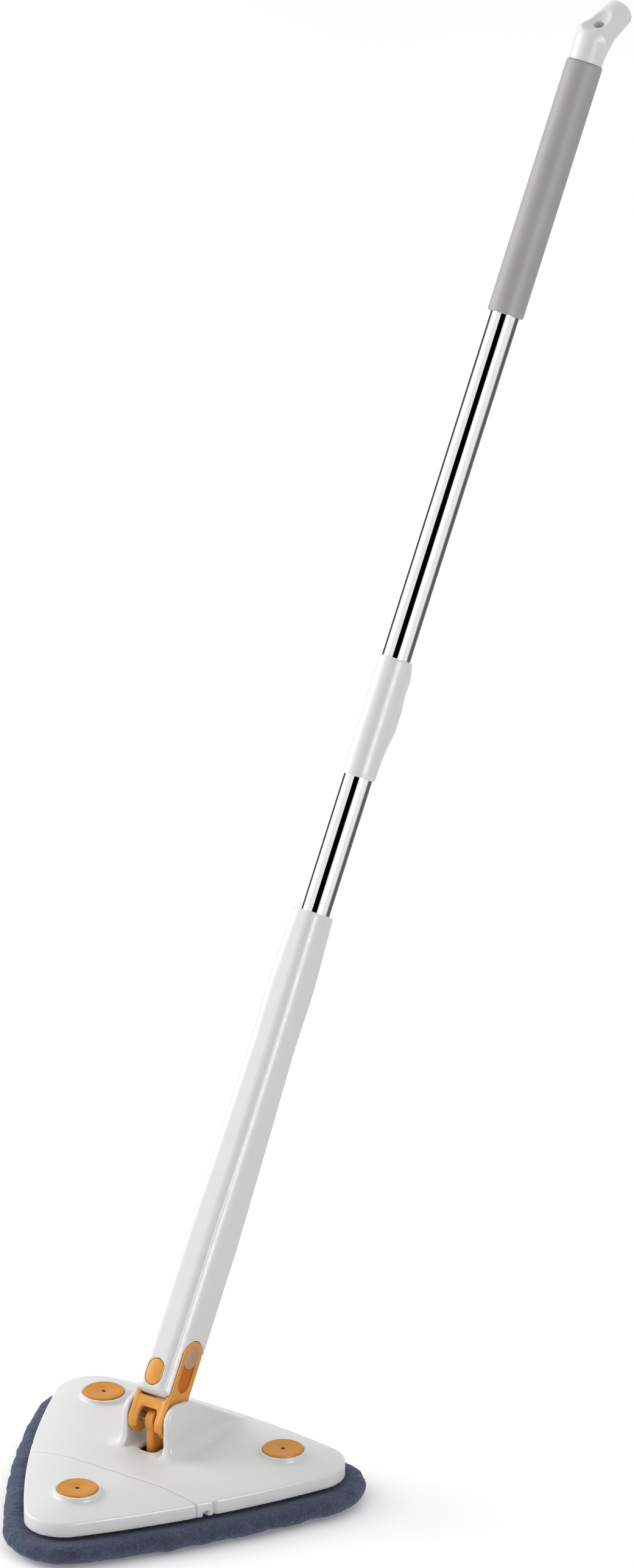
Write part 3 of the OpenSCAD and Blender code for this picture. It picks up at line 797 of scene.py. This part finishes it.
def pin_outline(r, half, head_r, head_h):
    """A rivet's profile: a shank with a domed head at both ends."""
    return [
        (0.01, -half - head_h), (head_r * 0.55, -half - head_h), (head_r * 0.9, -half - head_h * 0.7),
        (head_r, -half - head_h * 0.2), (head_r, -half), (r, -half), (r, half), (head_r, half),
        (head_r, half + head_h * 0.2), (head_r * 0.9, half + head_h * 0.7), (head_r * 0.55, half + head_h),
        (0.01, half + head_h),
    ]


def make_fork():
    low, high = (-19, -16, -16), (19, 16, 76)
    pole_piece("fork_yoke", fork_field, low, high, 0.75, "fork", "orange_plastic", ["fork"])
    rivet = pin_outline(PIN_R, 15.9, 11.2, 2.2)
    place = PIVOT + (FORK_PIN + 1) * ALONG
    turned_piece("fork_rivet", rivet, place, (1, 0, 0), "fork", "rivet_bronze", ["fork_pin"])


# ---------------------------------------------------------------- plates of the head


def plate_open(x, y, z):
    """The plate's outer form without its flat underside."""
    edge = outline(x, y)
    t = clamp(-edge / PLATE_SLOPE)
    top = PLATE_Z + PLATE_SIDE + PLATE_RISE * (1 - (1 - t) ** 2)
    return both(edge, z - top, 1.2)


def with_boss(form, x, y, z, angle):
    """Adds the low ring that a disc sits in, and cuts the disc's seat."""
    across = x - DISC_AT * math.cos(math.radians(angle))
    along = y - DISC_AT * math.sin(math.radians(angle))
    r = np.hypot(across, along)
    ring = both(r - DISC_R - BOSS_WIDE, z - (DISC_FLOOR + BOSS_HIGH), 0.9)
    form = soft_min(form, np.maximum(ring, PLATE_TOP - 6 - z), 2.5)
    return both(form, -np.maximum(r - DISC_R - 0.3, DISC_FLOOR - z), 0.35)


# along y: height above the tilt pin of the ridge that runs back from an ear
ear_ridge = smooth_profile([
    [-14, 18], [4, 17.8], [14, 16.8], [23, 13.5], [34, 7.5], [48, -1], [62, -9.5], [76, -18],
    [90, -27], [104, -39],
], 14)


def ear(x, y, z):
    """Both ears: a post with a round crown in front, and a ridge that runs back and down from it."""
    centre, half = PIVOT[2] + 4.4, 13.6
    crown = np.hypot(y, z - centre) - half
    post = np.maximum(np.abs(y) - half, z - centre)
    height, = ear_ridge(y)
    ramp = np.maximum((z - PIVOT[2] - height) * 0.85, -y)
    side = soft_min(np.minimum(crown, post), ramp, 2)
    side = np.maximum(side, PLATE_TOP - 12 - z)
    thick = slab(np.abs(x), EAR_IN, EAR_OUT - 2.5 * clamp((z - PLATE_TOP) / 40))
    return both(side, thick, 2.4)


def hinge_arm(x, y, z, grow):
    """The corner's two hinge arms: round about the hinge's axis behind, square in front."""
    dy, dz = y - HINGE[1], z - HINGE[2]
    round_part = np.hypot(dy, dz) - ARM_R - grow
    bar = np.maximum(np.maximum(dy, SEAM - 8 - y), dz - 6 - grow)
    return np.maximum(np.minimum(round_part, bar), slab(np.abs(x), ARM_IN - grow, ARM_OUT + grow))


def side_groove(x, y, z):
    """The upright groove in the plate's side behind the hinge."""
    across = np.hypot(y - GROOVE_Y, outline(x, y)) - 1.5
    return np.maximum(np.maximum(across, z - PLATE_Z - PLATE_SIDE + 0.6), 60 - np.abs(x))


def shell(form, inner_form, z):
    """A shell of form, open below and hollow where the inner form lies deeper than the wall."""
    form = both(form, PLATE_Z - z, 0.5)
    return np.maximum(form, -(inner_form + SHELL))


def head_field(x, y, z):
    """The head plate; the blocks are left solid beside the hinge arms, to hold the hinge pin."""
    form = plate_open(x, y, z)
    blocks = slab(np.abs(x), ARM_OUT + 0.4, 110)
    blocks = np.maximum(blocks, np.maximum(y - SEAM - 15, z - PLATE_Z - 12))
    inner = np.maximum(np.maximum(form, SEAM + SHELL - y), -blocks - SHELL)
    form = soft_min(form, ear(x, y, z), 14.0 - 9.0 * clamp((y - 10) / 80))
    slot = np.maximum(slab(x, -SLOT_HALF, SLOT_HALF), SLOT_FLOOR - z)
    form = both(form, -slot, 0.8)
    for name in ("left", "right"):
        form = with_boss(form, x, y, z, CORNER_ANGLES[name])
    form = both(form, SEAM + SEAM_HALF - y, 1.1)
    form = np.maximum(form, -hinge_arm(x, y, z, 0.4))
    form = soft_max(form, -side_groove(x, y, z), 1.2)
    opening = both(slab(x, -9.5, 9.5), slab(y, -12, 11), 2.5)
    form = both(form, -np.maximum(opening, 30 - z), 0.8)
    form = shell(form, inner, z)
    pin = np.maximum(np.hypot(y, z - PIVOT[2]) - PIN_R - 0.06, np.abs(x) - 23.2)
    form = np.maximum(form, -pin)
    hole = np.hypot(y - HINGE[1], z - HINGE[2]) - HINGE_HOLE_R
    return np.maximum(form, -hole)


def corner_field(x, y, z):
    """The folding corner with its two hinge arms."""
    plate = plate_open(x, y, z)
    inner = np.maximum(plate, y - SEAM + SHELL)
    form = with_boss(plate, x, y, z, CORNER_ANGLES["front"])
    form = both(form, y - SEAM + SEAM_HALF, 1.1)
    form = shell(form, inner, z)
    arms = np.maximum(np.maximum(plate, hinge_arm(x, y, z, 0)), PLATE_Z - z)
    form = np.minimum(form, np.maximum(arms, SEAM - 6 - y))
    pin = np.hypot(y - HINGE[1], z - HINGE[2]) - HINGE_PIN_R
    return np.maximum(form, -pin)


def lug_field(x, y, z):
    """The lug inside the fork: a foot, a post and a barrel round the tilt pin."""
    post = both(both(slab(x, -4, 4), slab(y, -8, 8), 2.5), slab(z, LUG_FOOT, PIVOT[2]), 0.5)
    barrel = both(np.hypot(y, z - PIVOT[2]) - 9.0, slab(x, -4.2, 4.2), 1.0)
    foot = both(both(slab(x, -7, 7), slab(y, -9.5, 9.5), 2.5), slab(z, LUG_FOOT, LUG_FOOT + 3), 1.2)
    form = soft_min(soft_min(post, barrel, 3), foot, 2)
    return np.maximum(form, PIN_R + 0.06 - np.hypot(y, z - PIVOT[2]))


def disc_outline():
    r, low, high = DISC_R, DISC_FLOOR + 0.05, DISC_TOP
    return [
        (1.5, low), (r - 0.3, low), (r, low + 0.3), (r, high - 0.9), (r - 0.25, high - 0.3),
        (r - 0.9, high), (r - 1.8, high), (r - 2.2, high - 0.25), (5.2, high - 0.45), (4.7, high - 0.7),
        (2.4, high - 0.7), (2.0, high - 1.1), (1.5, high - 1.6),
    ]


def screw_outline():
    high = DISC_TOP - 0.8
    return [
        (0.01, high - 14), (1.25, high - 14), (1.25, high - 1), (1.8, high - 1), (1.8, high - 0.3),
        (1.3, high), (0.9, high), (0.8, high - 0.6), (0.01, high - 0.6),
    ]


def make_plates():
    low, high = PLATE_LOW - (0, 0, 1), PLATE_HIGH + (0, 0, 4)
    field_piece("plate_with_ears", head_field, low, high, 1.25, "head", "white_plastic", ["head_plate"])
    low, high = node_box("corner_plate")
    low, high = low - 1, high + (1, 1, 4)
    field_piece("folding_plate", corner_field, low, high, 1.25, "corner", "white_plastic", ["corner_plate"])


def make_lug():
    low, high = (-9, -12, LUG_FOOT - 1), (9, 12, PIVOT[2] + 10)
    field_piece("joint_lug", lug_field, low, high, 0.7, "head", "orange_plastic", ["centre_lug"])
    axle = pin_outline(PIN_R, 22, PIN_R + 0.02, 0.8)
    turned_piece("tilt_axle", axle, PIVOT, (1, 0, 0), "head", "pin_steel", ["tilt_pin"])


def make_discs():
    up = (0, 0, 1)
    for name, angle in CORNER_ANGLES.items():
        turn = math.radians(angle)
        place = (DISC_AT * math.cos(turn), DISC_AT * math.sin(turn), 0)
        body, screws = ("corner", "disc_front_screw") if name == "front" else ("head", "disc_screws")
        turned_piece("disc_cap_" + name, disc_outline(), place, up, body, "disc_plastic", ["disc_" + name])
        turned_piece("disc_fastener_" + name, screw_outline(), place, up, body, "dark_screw", [screws], 32)


# ---------------------------------------------------------------- the pad


def outline_points(margin, count):
    """Equally spaced points round the plate's outline moved out by a margin, and their outward directions."""
    radius, offset, half = bowed_sides()
    arcs = []
    for angle in CORNER_ANGLES.values():
        turn = math.radians(angle)
        corner = CORNER_REACH * np.array([math.cos(turn), math.sin(turn)])
        arcs.append((corner, PLATE_R + margin, turn - half, turn + half))
        middle = turn + math.pi / 3
        centre = -offset * np.array([math.cos(middle), math.sin(middle)])
        arcs.append((centre, radius + margin, turn + half, middle + math.pi / 3 - half))
    lengths = np.array([r * (end - start) for _, r, start, end in arcs])
    ends = np.cumsum(lengths)
    points, normals = [], []
    for k in range(count):
        along = ends[-1] * k / count
        index = int(np.searchsorted(ends, along, side="right"))
        centre, r, start, end = arcs[index]
        turn = end - (ends[index] - along) / r
        n = np.array([math.cos(turn), math.sin(turn)])
        points.append(centre + r * n)
        normals.append(n)
    return np.array(points), np.array(normals)


PAD_TOP = 20.3
# from the middle of the underside, round the rim, to the middle of the top: inset from the rim and height
PAD_RIM = [
    (48, 0.0), (40, 0.0), (32, 0.0), (24, 0.0), (17, 0.3), (11.5, 1.3), (6.8, 3.1), (3.2, 5.6),
    (1.0, 8.4), (0.2, 10.6), (0.2, 12.8), (1.2, 15.2), (3.4, 17.6), (6.8, 19.2), (10.4, 19.6),
    (13.6, 19.0), (16.6, 18.4), (22, 18.6), (28, 19.4), (33, PAD_TOP), (48, PAD_TOP),
]
PAD_STEPS = 216
PAD_FULL, PAD_ROUND = 1.5, 16.0          # how far the pile stands out beyond the block; where that ends
PILE_FULL, PILE_END = 12.0, 17.0         # in from the rim: where the tufts start to fade, and where they end
PUFF_FREE, PUFF_HELD = 9.0, 15.0         # in from the rim: free to swell, and held
PUFF_FRAMES = 14
PUFF_CAP = 0.004                         # metres that the rim may swell


def pad_mesh():
    points, normals = outline_points(PAD_OUT, PAD_STEPS)
    rows = []
    for inset, height in PAD_RIM:
        flat = points - normals * (inset - PAD_FULL * float(clamp(1 - inset / PAD_ROUND)))
        rows.append(np.column_stack([flat, np.full(PAD_STEPS, height)]))
    near, far = (np.array([share, share, 1]) for share in (0.2, 0.55))
    rows = [rows[0] * near, rows[0] * far] + rows + [rows[-1] * far, rows[-1] * near]
    faces = []
    for row in range(len(rows) - 1):
        faces += band(row, row + 1, PAD_STEPS)
    vertices = np.vstack(rows + [[0, 0, 0], [0, 0, PAD_TOP]])
    bottom, top = len(vertices) - 2, len(vertices) - 1
    last = (len(rows) - 1) * PAD_STEPS
    for k in range(PAD_STEPS):
        n = (k + 1) % PAD_STEPS
        faces.append((n, k, bottom))
        faces.append((last + k, last + n, top))
    return vertices, faces


def puff(piece):
    """Cloth simulation of the rim: the middle is held, the rim swells under pressure."""
    group = piece.vertex_groups.new(name="held")
    rest = np.array([v.co for v in piece.data.vertices])
    inset = PAD_OUT - outline(rest[:, 0] / MM, rest[:, 1] / MM)
    for index, depth in enumerate(inset):
        weight = float(clamp((depth - PUFF_FREE) / (PUFF_HELD - PUFF_FREE)))
        if weight > 0:
            group.add([index], weight, "REPLACE")
    cloth = piece.modifiers.new("cloth", "CLOTH")
    settings = cloth.settings
    settings.quality = 6
    settings.mass = 0.15
    settings.use_pressure = True
    settings.uniform_pressure_force = 4.0
    settings.tension_stiffness = 12
    settings.compression_stiffness = 6
    settings.shear_stiffness = 4
    settings.bending_stiffness = 0.3
    settings.vertex_group_mass = "held"
    settings.effector_weights.gravity = 0
    cloth.collision_settings.use_collision = False
    scene = bpy.context.scene
    for number in range(1, PUFF_FRAMES + 1):
        scene.frame_set(number)
    moved = evaluated_points(piece)
    piece.modifiers.remove(cloth)
    scene.frame_set(1)
    shift = moved - rest
    length = np.linalg.norm(shift, axis=1)
    shift *= np.minimum(1, PUFF_CAP / np.maximum(length, 1e-9))[:, None]
    set_points(piece, rest + shift)


def evaluated_points(piece):
    graph = bpy.context.evaluated_depsgraph_get()
    mesh = piece.evaluated_get(graph).to_mesh()
    return np.array([v.co for v in mesh.vertices])


def set_points(piece, points):
    points = points.copy()
    points[:, 2] = np.maximum(points[:, 2], 0.0)
    piece.data.vertices.foreach_set("co", points.astype(np.float32).ravel())
    piece.data.update()


def apply_subdivision(piece, levels):
    modifier = piece.modifiers.new("smooth", "SUBSURF")
    modifier.levels = modifier.render_levels = levels
    graph = bpy.context.evaluated_depsgraph_get()
    mesh = bpy.data.meshes.new_from_object(piece.evaluated_get(graph))
    piece.modifiers.clear()
    old = piece.data
    piece.data = mesh
    bpy.data.meshes.remove(old)


def ruffle(piece):
    """Pile: tufts and slow waves round the rim, and none in the middle above or below."""
    mesh = piece.data
    normals = np.array([v.normal for v in mesh.vertices])
    points = np.array([v.co for v in mesh.vertices])
    inset = PAD_OUT - outline(points[:, 0] / MM, points[:, 1] / MM)
    rim = clamp((PILE_END - inset) / (PILE_END - PILE_FULL))
    amount = np.zeros(len(points))
    for index, point in enumerate(points):
        if rim[index] > 0:
            place = Vector(point)
            tuft = noise.noise(place * 330) + 0.6 * noise.noise(place * 760)
            wave = noise.noise(place * 48) + 0.7 * noise.noise(place * 110)
            amount[index] = 0.0005 * tuft + 0.0011 * wave
    set_points(piece, points + normals * (amount * rim)[:, None])


def make_pad():
    vertices, faces = pad_mesh()
    pad = make_piece("plush_pad", vertices, faces, None, "plush", ["pad_main", "pad_corner"])
    puff(pad)
    apply_subdivision(pad, 2)
    ruffle(pad)
    pad.data.shade_smooth()
    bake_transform(pad)


# ---------------------------------------------------------------- stage, light and camera

CAMERA_AZIMUTH, CAMERA_ELEVATION = math.radians(36.3), math.radians(24.3)
CAMERA_DISTANCE = 20.0
SENSOR = 36.0
FRAME_HEIGHT = 1.3334                    # metres that the picture is high at the object
LOOK_AT = Vector((-0.0287, 0.2719, 0.5530))


def towards(azimuth, elevation):
    level = math.cos(elevation)
    return Vector((math.sin(azimuth) * level, -math.cos(azimuth) * level, math.sin(elevation)))


def make_camera():
    data = bpy.data.cameras.new("camera")
    camera = bpy.data.objects.new("camera", data)
    bpy.context.scene.collection.objects.link(camera)
    direction = towards(CAMERA_AZIMUTH, CAMERA_ELEVATION)
    camera.location = LOOK_AT + direction * CAMERA_DISTANCE
    camera.rotation_mode = "QUATERNION"
    camera.rotation_quaternion = (-direction).to_track_quat("-Z", "Y")
    data.sensor_width = SENSOR
    data.lens = SENSOR * CAMERA_DISTANCE / FRAME_HEIGHT
    data.clip_end = 100
    bpy.context.scene.camera = camera


def make_stage():
    size = 12.0
    corners = [(-size, -size, 0), (size, -size, 0), (size, size, 0), (-size, size, 0)]
    mesh = bpy.data.meshes.new("floor")
    mesh.from_pydata(corners, [], [(0, 1, 2, 3)])
    floor = bpy.data.objects.new("floor", mesh)
    bpy.context.scene.collection.objects.link(floor)
    result, tree, shader, place = node_tree("floor_paper")
    paper = tint(tree, noise_value(tree, place, 3, 2), (0.93, 0.93, 0.93), (0.95, 0.95, 0.95))
    tree.links.new(paper, shader.inputs["Base Color"])
    shader.inputs["Roughness"].default_value = 0.9
    shader.inputs["Specular IOR Level"].default_value = 0.0
    shader.inputs["Emission Color"].default_value = (1, 1, 1, 1)
    shader.inputs["Emission Strength"].default_value = 0.13
    mesh.materials.append(result)
    floor.visible_glossy = False


# dark openings in the white room, as the tube mirrors them, in degrees:
# turn about the pole from the camera's direction, inner edge, outer edge; and the brightness inside
OPENINGS = [(-11, 19, 23, 0.0), (119, 16, 31, 0.14), (-145, 14, 30, 0.16)]


def dark_opening(tree, direction, turn, inner, outer, value):
    """A round patch of the room, white outside it and of another brightness inside."""
    camera = towards(CAMERA_AZIMUTH, CAMERA_ELEVATION)
    side = camera.cross(Vector(ALONG)).normalized() * -1
    turn = math.radians(turn)
    dot = dot_product(tree, direction, camera * math.cos(turn) + side * math.sin(turn))
    ramp = tree.nodes.new("ShaderNodeValToRGB")
    ramp.color_ramp.elements[0].position = math.cos(math.radians(outer))
    ramp.color_ramp.elements[0].color = (1, 1, 1, 1)
    ramp.color_ramp.elements[1].position = math.cos(math.radians(inner))
    ramp.color_ramp.elements[1].color = (value, value, value, 1)
    tree.links.new(dot, ramp.inputs["Fac"])
    return ramp.outputs["Color"]


def make_room():
    """A white room with dark openings."""
    world = bpy.data.worlds.new("studio")
    bpy.context.scene.world = world
    world.use_nodes = True
    tree = world.node_tree
    background = tree.nodes["Background"]
    background.inputs["Strength"].default_value = 0.87
    direction = tree.nodes.new("ShaderNodeTexCoord").outputs["Generated"]
    first, *others = [dark_opening(tree, direction, *opening) for opening in OPENINGS]
    for other in others:
        first = mixed(tree, 1.0, first, other)
    tree.links.new(first, background.inputs["Color"])


def area_light(name, size, energy, place, aim):
    light = bpy.data.lights.new(name, "AREA")
    light.shape = "RECTANGLE"
    light.size, light.size_y = size
    light.energy = energy
    result = bpy.data.objects.new(name, light)
    bpy.context.scene.collection.objects.link(result)
    result.location = place
    result.rotation_mode = "QUATERNION"
    result.rotation_quaternion = (aim - Vector(place)).to_track_quat("-Z", "Y")
    return result


def make_lights():
    """A large soft light from the left, and a strip that only shows as the bright line on the sleeve."""
    area_light("key", (2.2, 3.0), 88, (-3.05, -0.95, 1.3), Vector((0, 0.25, 0.5)))
    strip_aim = Vector((0, 0.2, 0.35))
    strip_way = Vector((0.925, -0.325, 0.203))
    strip = area_light("strip", (0.9, 1.8), 75, strip_aim + strip_way * 2.6, strip_aim)
    strip.visible_diffuse = False
    view = bpy.context.scene.view_settings
    view.view_transform = "Standard"
    view.look = "None"


make_camera()
make_stage()
make_room()
make_lights()
finish_cad_nodes()
make_tubes()
make_grip()
make_collar()
make_cap()
make_sleeve()
make_button()
make_fork()
make_plates()
make_lug()
make_discs()
make_pad()
